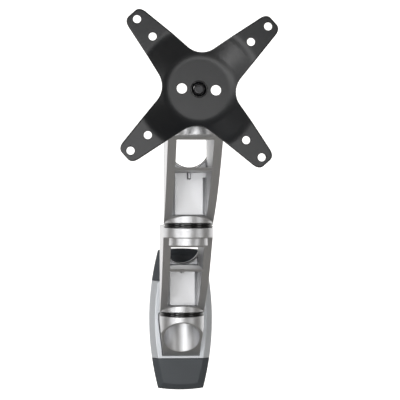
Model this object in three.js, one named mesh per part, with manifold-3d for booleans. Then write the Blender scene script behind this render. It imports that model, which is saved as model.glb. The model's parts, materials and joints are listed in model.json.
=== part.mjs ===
// A full motion wall mount for a television: a wall plate with a plastic housing, a cast base bracket,
// two hollow cast arms stacked one above the other on vertical pivots, a swivel head with a tilting
// block, and a pressed X-shaped plate that carries the television.
// Millimetres, +Z up. The wall is the plane y = 0 and the mount reaches out along -Y.

import * as THREE from "three";
import { mergeVertices } from "three/addons/utils/BufferGeometryUtils.js";
import Module from "manifold-3d";

const wasm = await Module();
wasm.setup();

// ---------------------------------------------------------------- driving sizes

const GAP = 0.3; // clearance between neighbours that touch

// Wall plate and its plastic housing
const HOUSING_HEIGHT = 146;
const HOUSING_HALF_WIDTH = 32.6; // at mid height
const HOUSING_END_HALF_WIDTH = 23.4; // at the two ends
const HOUSING_DEPTH = 20;
const HOUSING_BEVEL = 6; // slanted border round the front
const HOUSING_WALL = 2;
const COVER_HALF_HEIGHT = 40; // the silver middle, between the end caps
const BRACKET_THICKNESS = 4;
const LAG_HOLE_HEIGHT = 56; // above and below the middle
const LAG_HOLE_RADIUS = 3.3;

// Pivots
const HUB_RADIUS = 22.4;
const FOLD_GAP = 2.5; // between the housing and an arm folded along the wall
const RING_HEIGHT = 3.7;
const RING_GROOVE = 0.8;
const PIVOT_BOLT_RADIUS = 5;
const PIVOT_HEAD_RADIUS = 8.5;
const PIVOT_HEAD_HEIGHT = 5.5;
const PIVOT_WASHER_THICKNESS = 1.5;
const BUSH_WALL = 2;
const THREAD_DEPTH = 12; // pivot bolt below the top of the hub it screws into
const THREAD_SHORT = 0.4; // the base bolt ends this far above its roof's underside

// Base bracket
const BASE_TOP = 6.4;
const BASE_BOTTOM = -37;
const BASE_ROOF = 5.2; // metal above the hollow
const BASE_NOSE_LIP = 0.4; // the slanted front starts this far below the roof
const BASE_FLANGE_EXTRA = 3; // the flange is wider than the bracket, and hidden in the housing
const BASE_FLANGE_THICKNESS = 4;
const BASE_FLANGE_RISE = 8; // above the bracket's top
const BASE_FOOT_HALF_WIDTH = 18.2;
const BASE_SLOPE = 0.82; // rise of the slanted front per millimetre of reach
const BASE_HOLLOW_RADIUS = 18;
const BASE_SCREW_RADIUS = 3;
const BASE_SCREW_LENGTH = 14;
const BASE_SCREW_SPREAD = 11;
const BASE_SCREW_HEIGHTS = [-1, -27];

// Arms
const ARM_REACH = 150; // pivot to pivot
const ARM_HEIGHT = 87.6;
const CHEEK_THICKNESS = 7.2;
const TOP_WEB = 3;
const ARM_EDGE = 0.8; // broken edges
const NEAR_BAND_HEIGHT = 8.9; // rim of the outer hub
const NECK_RADIUS = 17.5;
const NECK_HEIGHT = 7.3; // below the rim
const NEAR_HOLLOW_END = 17; // hollow stops this far short of the outer pivot
const UNDERSIDE_START = 4; // the slanted underside leaves the floor this far from the inner pivot
const UNDERSIDE_LOW = 24; // height of the curve's middle handle
const UNDERSIDE_DROP = 2.4; // the curve ends this far below the neck
const UNDERSIDE_RISE = 0.75; // slope from there up to the rim
const SHELF_BOTTOM = 45.2;
const SHELF_THICKNESS = 2.6;
const COLUMN_FRONT = 18; // front of the solid column, from the inner pivot
const POCKET_FLOOR = 6.9;
const POCKET_TOP = 40.5;
const POCKET_BACK = 11.2;
const POCKET_DRAFT = 2.8;
const WINDOW_RADIUS = 18.5;
const WINDOW_HEIGHT = 67.2;
const TRIM_THICKNESS = 0.8;
const TRIM_DEPTH = 3.5;
const COUNTERBORE_FLOOR = 35.7;
const BUSH_LENGTH = 30;
const TAB_WIDTH = 2.4;
const TAB_DROP = 5.7;
const FRICTION_SCREW_RADIUS = 2.2;
const FRICTION_SCREW_HEIGHT = 19;
const SCREW_PROUD = 1; // the lower arm's screw stands out of its hub
const SCREW_SUNK = -0.4; // the upper arm's lies just below the surface

// Head, tilt joint and display plate
const FLANGE_THICKNESS = 2;
const HEAD_RADIUS = 15;
const HEAD_HEIGHT = 8;
const HEAD_ROOF = 1.2; // metal above the head's bush
const HEAD_BUSH_SHORT = 0.6; // the bush stops this far below that metal
const TILT_REACH = 21; // swivel axis to tilt axis
const TILT_HEIGHT = 6.5; // above the foot of the head
const TILT_RADIUS = 6;
const TILT_BOLT_RADIUS = 2.5;
const TILT_HEAD_RADIUS = 4.1;
const TILT_HEAD_LENGTH = 3.2;
const TONGUE_HALF_WIDTH = 4.6;
const TILT_WASHER_THICKNESS = 0.7;
const EAR_THICKNESS = 2.9;
const BOSS_RADIUS = 9;
const BOSS_THICKNESS = 5.7;
const DISPLAY_HEIGHT = 13.7; // plate centre above the foot of the head
const DISPLAY_ROLL = 2.8; // degrees the plate was left turned
const SHEET = 2.5;
const DISH_RADIUS = 26; // flat centre
const PAD_RADIUS = 46.5; // where the pads turn flat again
const PAD_STEP = 8.7; // pads stand this far in front of the centre
const LEG_LENGTH = 76.6;
const LEG_TAPER = 9; // degrees, each side
const TIP_ROUND = 6.5;
const WAIST_RADIUS = 28.5; // notch between two legs
const VESA_LARGE = 100;
const VESA_SMALL = 75;
const VESA_HOLE_RADIUS = 3.1;
const LEG_HALF_WIDTH = 8.8; // at the large hole
const SIDE_HOLE_RADIUS = 4;
const SIDE_HOLE_SPREAD = 13.1;
const CENTRE_SCREW_RADIUS = 4;
const CENTRE_WASHER_RADIUS = 6.6;

// ---------------------------------------------------------------- sizes that follow from them

const PIVOT_Y = -(HOUSING_DEPTH + FOLD_GAP + HUB_RADIUS);
const RING_PITCH = RING_HEIGHT + 2 * GAP;
const ARM_1_FLOOR = BASE_TOP + RING_PITCH;
const ARM_2_FLOOR = ARM_1_FLOOR + ARM_HEIGHT + RING_PITCH;
const HEAD_FLOOR = ARM_2_FLOOR + ARM_HEIGHT + RING_PITCH;
const ELBOW_Y = PIVOT_Y - ARM_REACH;
const HEAD_Y = ELBOW_Y - ARM_REACH;
const HOLLOW_HALF_WIDTH = HUB_RADIUS - CHEEK_THICKNESS;
const BUSH_BORE = PIVOT_BOLT_RADIUS + GAP;
const BUSH_RADIUS = BUSH_BORE + BUSH_WALL;
const SHELF_TOP = SHELF_BOTTOM + SHELF_THICKNESS;
const HALF_TURN = Math.PI / 2;

// Sides of the round shapes
const LARGE_SIDES = 32;
const SMALL_SIDES = 16;

// ---------------------------------------------------------------- materials

const finish = (color, roughness, metalness) =>
  new THREE.MeshStandardMaterial({ color, roughness, metalness });

const silver = () => finish(0xbfc3c8, 0.38, 0.55);
const coverSilver = () => finish(0xc9ccd0, 0.4, 0.4);
const slate = () => finish(0x4e5358, 0.5, 0);
const glossBlack = () => finish(0x0c0c0d, 0.18, 0);
const satinBlack = () => finish(0x2a2d30, 0.42, 0.15);
const nylon = () => finish(0xd8d4c8, 0.55, 0);
const blackSteel = () => finish(0x151516, 0.35, 0.7);
const zinc = () => finish(0xaeb2b6, 0.3, 0.9);

// ---------------------------------------------------------------- shape helpers

function solidOf(geometry) {
  const bare = geometry.clone();
  bare.deleteAttribute("normal");
  bare.deleteAttribute("uv");
  const merged = mergeVertices(bare, 1e-4);
  const vertProperties = merged.attributes.position.array;
  const triVerts = new Uint32Array(merged.index.array);
  return new wasm.Manifold(new wasm.Mesh({ numProp: 3, vertProperties, triVerts }));
}

function geometryOf(solid) {
  const { vertProperties, triVerts } = solid.getMesh();
  const geometry = new THREE.BufferGeometry();
  geometry.setAttribute("position", new THREE.BufferAttribute(vertProperties, 3));
  geometry.setIndex(new THREE.BufferAttribute(triVerts, 1));
  const faceted = geometry.toNonIndexed();
  faceted.computeVertexNormals();
  return faceted;
}

const joined = (first, ...rest) => rest.reduce((whole, geometry) => whole.add(solidOf(geometry)), first);

const cutBy = (first, ...rest) =>
  rest.reduce((whole, geometry) => whole.subtract(solidOf(geometry)), first);

// A box from its lowest to its highest corner
function block([x0, y0, z0], [x1, y1, z1]) {
  const box = new THREE.BoxGeometry(x1 - x0, y1 - y0, z1 - z0);
  return box.translate((x0 + x1) / 2, (y0 + y1) / 2, (z0 + z1) / 2);
}

// Round bars along Z, X and Y, from one coordinate to another
function barZ(radius, [x, y], z0, z1, segments = LARGE_SIDES) {
  const bar = new THREE.CylinderGeometry(radius, radius, z1 - z0, segments);
  return bar.rotateX(HALF_TURN).translate(x, y, (z0 + z1) / 2);
}

function barX(radius, [y, z], x0, x1, segments = SMALL_SIDES) {
  const bar = new THREE.CylinderGeometry(radius, radius, x1 - x0, segments);
  return bar.rotateZ(HALF_TURN).translate((x0 + x1) / 2, y, z);
}

function barY(radius, [x, z], y0, y1, segments = SMALL_SIDES) {
  const bar = new THREE.CylinderGeometry(radius, radius, y1 - y0, segments);
  return bar.translate(x, (y0 + y1) / 2, z);
}

// A turned solid about Z from its [radius, height] profile, listed upwards along the outside
function turned(profile, segments = LARGE_SIDES) {
  const points = profile.map(([radius, height]) => new THREE.Vector2(radius, height));
  return new THREE.LatheGeometry(points, segments).rotateX(HALF_TURN);
}

// A turned ring: the outside going up, then the inside going down
const ringProfile = (inner, outer, low, high) => [
  [inner, low],
  [outer, low],
  [outer, high],
  [inner, high],
  [inner, low],
];

function polygon(points) {
  return new THREE.Shape(points.map(([a, b]) => new THREE.Vector2(a, b)));
}

// A flat outline drawn in X and Z, made thick from y = near to y = far, with far the more negative
function frontPrism(shape, near, far, options = {}) {
  const thick = new THREE.ExtrudeGeometry(shape, { depth: near - far, bevelEnabled: false, ...options });
  return thick.rotateX(HALF_TURN).translate(0, near, 0);
}

// A side outline drawn in Y and Z, made thick across X
function sidePrism(shape, halfWidth) {
  const options = { depth: 2 * halfWidth, bevelEnabled: false, curveSegments: 12 };
  const thick = new THREE.ExtrudeGeometry(shape, options);
  return thick.rotateX(HALF_TURN).rotateZ(HALF_TURN).translate(-halfWidth, 0, 0);
}

function part(name, geometry, material) {
  const mesh = new THREE.Mesh(geometry, material);
  mesh.name = name;
  return mesh;
}

const cast = (name, solid, material) => part(name, geometryOf(solid), material);

// A socket-headed bolt standing on z = 0 with its shank hanging down and a hexagonal socket in its head
function socketBolt(radius, length, headRadius, headHeight) {
  const body = turned([
    [0, -length],
    [radius, -length],
    [radius, 0],
    [headRadius, 0],
    [headRadius, headHeight * 0.85],
    [headRadius * 0.9, headHeight],
    [0, headHeight],
  ], SMALL_SIDES);
  const socket = new THREE.CylinderGeometry(radius * 0.8, radius * 0.8, headHeight, 6);
  socket.rotateX(HALF_TURN).translate(0, 0, headHeight * 0.9);
  return cutBy(solidOf(body), socket);
}

// ---------------------------------------------------------------- wall plate and housing

// The housing's outline, smaller by inset all round
function housingShape(inset) {
  const wide = HOUSING_HALF_WIDTH - inset;
  const end = HOUSING_END_HALF_WIDTH - inset;
  const tall = HOUSING_HEIGHT / 2 - inset;
  const shoulder = tall - 1.8; // the ends bow outwards a little
  const handle = shoulder / 2;
  const shape = new THREE.Shape();
  shape.moveTo(wide, 0);
  shape.quadraticCurveTo(wide, handle, end, shoulder);
  shape.quadraticCurveTo(0, tall + 1.8, -end, shoulder);
  shape.quadraticCurveTo(-wide, handle, -wide, 0);
  shape.quadraticCurveTo(-wide, -handle, -end, -shoulder);
  shape.quadraticCurveTo(0, -tall - 1.8, end, -shoulder);
  shape.quadraticCurveTo(wide, -handle, wide, 0);
  return shape;
}

// The housing as a filled block with a bevelled front, smaller by inset
function housingBlock(inset) {
  const bevelled = frontPrism(housingShape(inset), HOUSING_DEPTH, inset - HOUSING_DEPTH + HOUSING_BEVEL, {
    bevelEnabled: true,
    bevelThickness: HOUSING_BEVEL,
    bevelSize: HOUSING_BEVEL,
    bevelOffset: -HOUSING_BEVEL,
    bevelSegments: 1,
    curveSegments: 6,
  });
  const reach = HOUSING_HEIGHT;
  const inFront = block([-reach, -reach, -reach], [reach, 0, reach]);
  return solidOf(bevelled).intersect(solidOf(inFront));
}

function slab(low, high) {
  return block([-HOUSING_HEIGHT, -HOUSING_HEIGHT, low], [HOUSING_HEIGHT, HOUSING_HEIGHT, high]);
}

// One length of the hollow housing, from low to high
function housingShell(low, high) {
  return housingBlock(0).subtract(housingBlock(HOUSING_WALL)).intersect(solidOf(slab(low, high)));
}

// Half width of the base bracket at a height: straight sided at the hub, then drawn in to its foot
function baseHalfWidth(height) {
  const drop = Math.max(0, -height / -BASE_BOTTOM);
  return HUB_RADIUS + (BASE_FOOT_HALF_WIDTH - HUB_RADIUS) * drop;
}

const COVER_TONGUE_HALF_WIDTH = 8;
const COVER_SCREW_HEIGHT = COVER_HALF_HEIGHT + 5;
const COVER_SCREW_RADIUS = 1.5;
const COVER_TONGUE_Y = -(BRACKET_THICKNESS + GAP);
const COVER_TONGUE_THICKNESS = 2;

// A tongue under the end cap, screwed to the wall bracket; up is +1 at the top and -1 at the bottom
function coverTongue(up) {
  const inner = up * (COVER_HALF_HEIGHT - 2);
  const outer = up * (COVER_SCREW_HEIGHT + 5);
  const step = up * (COVER_HALF_HEIGHT - 0.5);
  const span = (a, b) => [Math.min(a, b), Math.max(a, b)];
  const [footLow, footHigh] = span(inner, outer);
  const [ribLow, ribHigh] = span(inner, step);
  const half = COVER_TONGUE_HALF_WIDTH;
  const foot = block(
    [-half, COVER_TONGUE_Y - COVER_TONGUE_THICKNESS, footLow],
    [half, COVER_TONGUE_Y, footHigh],
  );
  const rib = block([-half, -HOUSING_DEPTH + HOUSING_WALL / 2, ribLow], [half, COVER_TONGUE_Y, ribHigh]);
  return [foot, rib];
}

function wallCover() {
  const edge = GAP + 0.6;
  const corner = 2;
  const top = BASE_TOP + GAP + 1.4;
  const low = BASE_BOTTOM - GAP;
  const upper = baseHalfWidth(0) + edge;
  const foot = baseHalfWidth(BASE_BOTTOM) + edge;
  const opening = polygon([
    [upper, top - corner],
    [upper - corner, top],
    [corner - upper, top],
    [-upper, top - corner],
    [-upper, 0],
    [-foot, low],
    [foot, low],
    [upper, 0],
  ]);
  const shell = housingShell(GAP / 2 - COVER_HALF_HEIGHT, COVER_HALF_HEIGHT - GAP / 2);
  const opened = shell.subtract(solidOf(frontPrism(opening, 1, -2 * HOUSING_DEPTH)));
  const tongued = joined(opened, ...coverTongue(1), ...coverTongue(-1));
  const holes = [1, -1].map((up) =>
    barY(COVER_SCREW_RADIUS + GAP, [0, up * COVER_SCREW_HEIGHT], -HOUSING_DEPTH, 0, 16),
  );
  return cast("wall_cover", cutBy(tongued, ...holes), coverSilver());
}

function endCap(name, up) {
  const seam = up * (COVER_HALF_HEIGHT + GAP / 2);
  const beyond = up * HOUSING_HEIGHT;
  const shell = housingShell(Math.min(seam, beyond), Math.max(seam, beyond));
  return cast(name, shell, slate());
}

const BASE_SCREW_HEAD_RADIUS = 5;
const BASE_SCREW_HEAD_HEIGHT = 2;

function baseScrewPlaces() {
  return BASE_SCREW_HEIGHTS.flatMap((z) => [
    [-BASE_SCREW_SPREAD, z],
    [BASE_SCREW_SPREAD, z],
  ]);
}

function wallBracket() {
  const outline = housingShape(HOUSING_WALL + GAP);
  const plate = solidOf(frontPrism(outline, 0, -BRACKET_THICKNESS, { curveSegments: 6 }));
  const lagHoles = [-LAG_HOLE_HEIGHT, LAG_HOLE_HEIGHT].map((z) =>
    barY(LAG_HOLE_RADIUS, [0, z], -HOUSING_DEPTH, 1),
  );
  const screwHoles = baseScrewPlaces().flatMap((place) => [
    barY(BASE_SCREW_RADIUS + GAP, place, -HOUSING_DEPTH, 1),
    barY(BASE_SCREW_HEAD_RADIUS + GAP, place, -(BASE_SCREW_HEAD_HEIGHT + GAP), 1),
  ]);
  const coverHoles = [1, -1].map((up) =>
    barY(COVER_SCREW_RADIUS + GAP, [0, up * COVER_SCREW_HEIGHT], -HOUSING_DEPTH, 1, 16),
  );
  return cast("wall_bracket", cutBy(plate, ...lagHoles, ...screwHoles, ...coverHoles), zinc());
}

function coverScrew(name, up) {
  const seat = -(COVER_TONGUE_Y - COVER_TONGUE_THICKNESS) + GAP;
  const screw = part(name, geometryOf(socketBolt(COVER_SCREW_RADIUS, seat - GAP, 3, 2)), zinc());
  screw.rotation.x = HALF_TURN;
  screw.position.set(0, -seat, up * COVER_SCREW_HEIGHT);
  return screw;
}

function baseScrew(name, [x, z]) {
  const head = [BASE_SCREW_HEAD_RADIUS, BASE_SCREW_HEAD_HEIGHT];
  const solid = socketBolt(BASE_SCREW_RADIUS, BASE_SCREW_LENGTH, ...head);
  const screw = part(name, geometryOf(solid), zinc());
  screw.rotation.x = -HALF_TURN;
  screw.position.set(x, -BASE_SCREW_HEAD_HEIGHT, z);
  return screw;
}

// ---------------------------------------------------------------- base bracket

function baseBracket() {
  const back = -(BRACKET_THICKNESS + GAP);
  const front = PIVOT_Y - HUB_RADIUS;
  const noseHeight = BASE_TOP - BASE_ROOF - BASE_NOSE_LIP;
  const footY = front + (noseHeight - BASE_BOTTOM) / BASE_SLOPE;
  const outline = polygon([
    [HUB_RADIUS, BASE_TOP],
    [-HUB_RADIUS, BASE_TOP],
    [-HUB_RADIUS, 0],
    [-BASE_FOOT_HALF_WIDTH, BASE_BOTTOM],
    [BASE_FOOT_HALF_WIDTH, BASE_BOTTOM],
    [HUB_RADIUS, 0],
  ]);
  const side = polygon([
    [back, BASE_BOTTOM],
    [back, BASE_TOP],
    [front - 1, BASE_TOP],
    [front - 1, noseHeight],
    [front, noseHeight],
    [footY, BASE_BOTTOM],
  ]);
  const plan = joined(
    solidOf(barZ(HUB_RADIUS, [0, PIVOT_Y], BASE_BOTTOM, BASE_TOP)),
    block([-HUB_RADIUS, PIVOT_Y, BASE_BOTTOM], [HUB_RADIUS, back, BASE_TOP]),
  );
  const body = solidOf(frontPrism(outline, back, front - 1))
    .intersect(solidOf(sidePrism(side, HUB_RADIUS)))
    .intersect(plan);
  const flangeHalf = HUB_RADIUS + BASE_FLANGE_EXTRA;
  const flangeBlock = block(
    [-flangeHalf, back - BASE_FLANGE_THICKNESS, BASE_BOTTOM],
    [flangeHalf, back, BASE_TOP + BASE_FLANGE_RISE],
  );
  const flange = solidOf(flangeBlock).intersect(housingBlock(HOUSING_WALL + GAP));
  const roof = BASE_TOP - BASE_ROOF;
  const noseShift = HUB_RADIUS - BASE_HOLLOW_RADIUS - 1;
  const hollow = [
    barZ(BASE_HOLLOW_RADIUS, [0, PIVOT_Y], BASE_BOTTOM - 1, roof),
    barZ(BASE_HOLLOW_RADIUS, [0, PIVOT_Y - noseShift], BASE_BOTTOM - 1, roof),
  ];
  const thread = barZ(PIVOT_BOLT_RADIUS + GAP, [0, PIVOT_Y], roof - 1, BASE_TOP + 1);
  const screwHoles = baseScrewPlaces().map((place) =>
    barY(BASE_SCREW_RADIUS + GAP, place, -(BASE_SCREW_HEAD_HEIGHT + BASE_SCREW_LENGTH + GAP), 0),
  );
  return cast("base_bracket", cutBy(body.add(flange), ...hollow, thread, ...screwHoles), silver());
}

// ---------------------------------------------------------------- pivots

// The black ring between two hubs, with a groove round its middle
function pivotRing(name) {
  const inner = BUSH_RADIUS + GAP;
  const middle = RING_HEIGHT / 2;
  const groove = RING_GROOVE / 2;
  const ring = turned([
    [inner, 0],
    [HUB_RADIUS, 0],
    [HUB_RADIUS, middle - groove],
    [HUB_RADIUS - RING_GROOVE, middle - groove],
    [HUB_RADIUS - RING_GROOVE, middle + groove],
    [HUB_RADIUS, middle + groove],
    [HUB_RADIUS, RING_HEIGHT],
    [inner, RING_HEIGHT],
    [inner, 0],
  ]);
  return part(name, ring, glossBlack());
}

function bush(name, length) {
  return part(name, turned(ringProfile(BUSH_BORE, BUSH_RADIUS, 0, length), SMALL_SIDES), nylon());
}

function pivotWasher(name) {
  const profile = ringProfile(BUSH_BORE, PIVOT_HEAD_RADIUS, 0, PIVOT_WASHER_THICKNESS);
  return part(name, turned(profile, SMALL_SIDES), zinc());
}

function pivotBolt(name, length) {
  const solid = socketBolt(PIVOT_BOLT_RADIUS, length, PIVOT_HEAD_RADIUS, PIVOT_HEAD_HEIGHT);
  return cast(name, solid, blackSteel());
}

// One pivot: the ring lies at z = 0 and the bolt's head seats at headFloor
function pivot(prefix, axisY, ringFloor, headFloor, threadLength, bushLength) {
  const group = new THREE.Group();
  group.position.set(0, axisY, ringFloor);
  const seat = headFloor - ringFloor;
  const ring = pivotRing(`${prefix}_pivot_ring`);
  const sleeve = bush(`${prefix}_pivot_bush`, bushLength);
  sleeve.position.z = RING_HEIGHT + GAP;
  const washer = pivotWasher(`${prefix}_pivot_washer`);
  washer.position.z = seat + GAP;
  const headSeat = seat + GAP + PIVOT_WASHER_THICKNESS + GAP;
  const bolt = pivotBolt(`${prefix}_pivot_bolt`, headSeat + threadLength);
  bolt.position.z = headSeat;
  group.add(ring, sleeve, washer, bolt);
  return group;
}

// ---------------------------------------------------------------- arms

// Height of the slanted underside's outline, from the inner pivot (0) to the outer one, seen from the side
function armSide() {
  const hollowEnd = ARM_REACH - NEAR_HOLLOW_END;
  const rim = ARM_HEIGHT - NEAR_BAND_HEIGHT;
  const webLow = rim - NECK_HEIGHT - UNDERSIDE_DROP;
  const beyond = HUB_RADIUS + 1;
  const rimStart = hollowEnd + (rim - webLow) / UNDERSIDE_RISE;
  const shape = new THREE.Shape();
  shape.moveTo(beyond, 0);
  shape.lineTo(-UNDERSIDE_START, 0);
  shape.quadraticCurveTo(-ARM_REACH / 2, UNDERSIDE_LOW, -hollowEnd, webLow);
  shape.lineTo(-rimStart, rim);
  shape.lineTo(-ARM_REACH - beyond, rim);
  shape.lineTo(-ARM_REACH - beyond, ARM_HEIGHT);
  shape.lineTo(beyond, ARM_HEIGHT);
  return shape;
}

// The arm seen from above: two round ends joined by straight sides, with broken edges
function armPlan() {
  const shape = new THREE.Shape();
  shape.absarc(0, 0, HUB_RADIUS, 0, Math.PI);
  shape.absarc(0, -ARM_REACH, HUB_RADIUS, Math.PI, 2 * Math.PI);
  return new THREE.ExtrudeGeometry(shape, {
    depth: ARM_HEIGHT - 2 * ARM_EDGE,
    curveSegments: LARGE_SIDES / 2,
    bevelThickness: ARM_EDGE,
    bevelSize: ARM_EDGE,
    bevelOffset: -ARM_EDGE,
    bevelSegments: 1,
  }).translate(0, 0, ARM_EDGE);
}

// The pocket in the column's face, narrowing towards its back
function armPocket() {
  const mouth = HOLLOW_HALF_WIDTH;
  const back = HOLLOW_HALF_WIDTH - POCKET_DRAFT;
  const shape = polygon([
    [mouth, -COLUMN_FRONT - 0.1],
    [back, -POCKET_BACK],
    [-back, -POCKET_BACK],
    [-mouth, -COLUMN_FRONT - 0.1],
  ]);
  const thick = new THREE.ExtrudeGeometry(shape, { depth: POCKET_TOP - POCKET_FLOOR, bevelEnabled: false });
  return thick.translate(0, 0, POCKET_FLOOR);
}

function armCasting(name) {
  const body = solidOf(sidePrism(armSide(), HUB_RADIUS + 1)).intersect(solidOf(armPlan()));
  const half = HOLLOW_HALF_WIDTH;
  const foot = turned([
    [0, 0],
    [HUB_RADIUS - ARM_EDGE, 0],
    [HUB_RADIUS, ARM_EDGE],
    [HUB_RADIUS, ARM_HEIGHT / 2],
    [0, ARM_HEIGHT / 2],
  ]);
  const rim = ARM_HEIGHT - NEAR_BAND_HEIGHT;
  const neck = barZ(NECK_RADIUS, [0, -ARM_REACH], rim - NECK_HEIGHT, rim + 1);
  const outside = joined(body, foot, neck);
  const hollowEnd = -(ARM_REACH - NEAR_HOLLOW_END);
  const front = -COLUMN_FRONT;
  const upper = block([-half, hollowEnd, SHELF_TOP], [half, front, ARM_HEIGHT - TOP_WEB]);
  const lower = block([-half, hollowEnd, POCKET_FLOOR], [half, front, SHELF_BOTTOM]);
  const slot = block([-half, front - 1, POCKET_TOP - 0.1], [half, -POCKET_BACK, SHELF_BOTTOM]);
  const window = barY(WINDOW_RADIUS, [0, WINDOW_HEIGHT], front - 0.1, HUB_RADIUS + 2, LARGE_SIDES);
  const hollowed = cutBy(outside, upper, lower, armPocket(), slot, window);
  const tab = block(
    [-TAB_WIDTH / 2, front + 0.2, SHELF_BOTTOM - TAB_DROP],
    [TAB_WIDTH / 2, front + 2, SHELF_BOTTOM + 0.5],
  );
  const threadEnd = ARM_HEIGHT - THREAD_DEPTH - 2;
  const bores = [
    barZ(PIVOT_HEAD_RADIUS + GAP, [0, 0], COUNTERBORE_FLOOR, WINDOW_HEIGHT, SMALL_SIDES),
    barZ(PIVOT_BOLT_RADIUS + GAP, [0, 0], -1, COUNTERBORE_FLOOR + 1, SMALL_SIDES),
    barZ(BUSH_RADIUS + GAP, [0, 0], -1, BUSH_LENGTH + GAP, SMALL_SIDES),
    barZ(PIVOT_BOLT_RADIUS + GAP, [0, -ARM_REACH], threadEnd, ARM_HEIGHT + 1, SMALL_SIDES),
    barX(FRICTION_SCREW_RADIUS + GAP, [0, FRICTION_SCREW_HEIGHT], BUSH_RADIUS, HUB_RADIUS + 2),
  ];
  return cast(name, cutBy(joined(hollowed, tab), ...bores), silver());
}

// The thin black trim round the mouth of the cable window
function windowTrim(name) {
  const outer = WINDOW_RADIUS - GAP;
  const trim = part(name, turned(ringProfile(outer - TRIM_THICKNESS, outer, 0, TRIM_DEPTH)), glossBlack());
  trim.rotation.x = HALF_TURN;
  trim.position.set(0, -COLUMN_FRONT + TRIM_DEPTH + 0.3, WINDOW_HEIGHT);
  return trim;
}

// The set screw that presses on the bush and stiffens the pivot; it stands out of the hub by proud
function frictionScrew(name, proud) {
  const inner = BUSH_RADIUS + 2 * GAP;
  const length = HUB_RADIUS + proud - inner;
  const head = socketBolt(FRICTION_SCREW_RADIUS, length - 1, FRICTION_SCREW_RADIUS, 1);
  const screw = part(name, geometryOf(head), blackSteel());
  screw.rotation.y = HALF_TURN;
  screw.position.set(HUB_RADIUS + proud - 1, 0, FRICTION_SCREW_HEIGHT);
  return screw;
}

function arm(number, axisY, floor, proud) {
  const group = new THREE.Group();
  group.position.set(0, axisY, floor);
  group.add(
    armCasting(`arm_${number}`),
    windowTrim(`arm_${number}_window_trim`),
    frictionScrew(`arm_${number}_friction_screw`, proud),
  );
  return group;
}

// ---------------------------------------------------------------- swivel head and tilt joint

const WASHER_INNER = TONGUE_HALF_WIDTH + GAP;
const EAR_INNER = WASHER_INNER + TILT_WASHER_THICKNESS + GAP;
const EAR_OUTER = EAR_INNER + EAR_THICKNESS;
const TILT_BORE = TILT_BOLT_RADIUS + GAP;
const TILT_PLACE = [-TILT_REACH, TILT_HEIGHT];
const BOSS_BACK = -(TILT_REACH + TILT_RADIUS + GAP);
const BOSS_FRONT = BOSS_BACK - BOSS_THICKNESS;

function swivelHead() {
  const round = turned([
    [0, 0],
    [HUB_RADIUS - 0.2, 0],
    [HUB_RADIUS - 0.2, FLANGE_THICKNESS],
    [HEAD_RADIUS, FLANGE_THICKNESS],
    [HEAD_RADIUS, HEAD_HEIGHT],
    [0, HEAD_HEIGHT],
  ]);
  const half = TONGUE_HALF_WIDTH;
  const neck = block(
    [-half, -TILT_REACH, FLANGE_THICKNESS / 2],
    [half, -HEAD_RADIUS / 2, TILT_HEIGHT + TILT_RADIUS * 0.6],
  );
  const barrel = barX(TILT_RADIUS, TILT_PLACE, -half, half);
  const swept = TILT_RADIUS + 1;
  const cuts = [
    barX(swept, TILT_PLACE, WASHER_INNER - GAP, HUB_RADIUS + 1),
    barX(swept, TILT_PLACE, -HUB_RADIUS - 1, GAP - WASHER_INNER),
    barX(TILT_BORE, TILT_PLACE, -half - 1, half + 1),
    barZ(BUSH_RADIUS + GAP, [0, 0], -1, HEAD_HEIGHT - HEAD_ROOF, SMALL_SIDES),
    barZ(BUSH_BORE, [0, 0], -1, HEAD_HEIGHT + 10, SMALL_SIDES),
    barZ(PIVOT_HEAD_RADIUS + GAP, [0, 0], HEAD_HEIGHT, HEAD_HEIGHT + 10, SMALL_SIDES),
  ];
  return cast("swivel_head", cutBy(joined(solidOf(round), neck, barrel), ...cuts), silver());
}

function tiltBlock() {
  const bossPlace = [0, DISPLAY_HEIGHT];
  const low = TILT_HEIGHT - TILT_RADIUS * 0.75;
  const web = block([-EAR_OUTER, BOSS_FRONT, low], [EAR_OUTER, BOSS_BACK, DISPLAY_HEIGHT]);
  const ears = [-1, 1].flatMap((side) => {
    const inner = side > 0 ? EAR_INNER : -EAR_OUTER;
    return [
      barX(TILT_RADIUS, TILT_PLACE, inner, inner + EAR_THICKNESS),
      block([inner, BOSS_BACK, low], [inner + EAR_THICKNESS, -TILT_REACH, TILT_HEIGHT + TILT_RADIUS]),
    ];
  });
  const boss = solidOf(barY(BOSS_RADIUS, bossPlace, BOSS_FRONT, BOSS_BACK, SMALL_SIDES));
  const cuts = [
    barX(TILT_BORE, TILT_PLACE, -EAR_OUTER - 1, EAR_OUTER + 1),
    barY(CENTRE_SCREW_RADIUS + GAP, bossPlace, BOSS_FRONT - 1, BOSS_BACK + 1),
  ];
  return cast("tilt_block", cutBy(joined(boss, web, ...ears), ...cuts), satinBlack());
}

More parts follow.
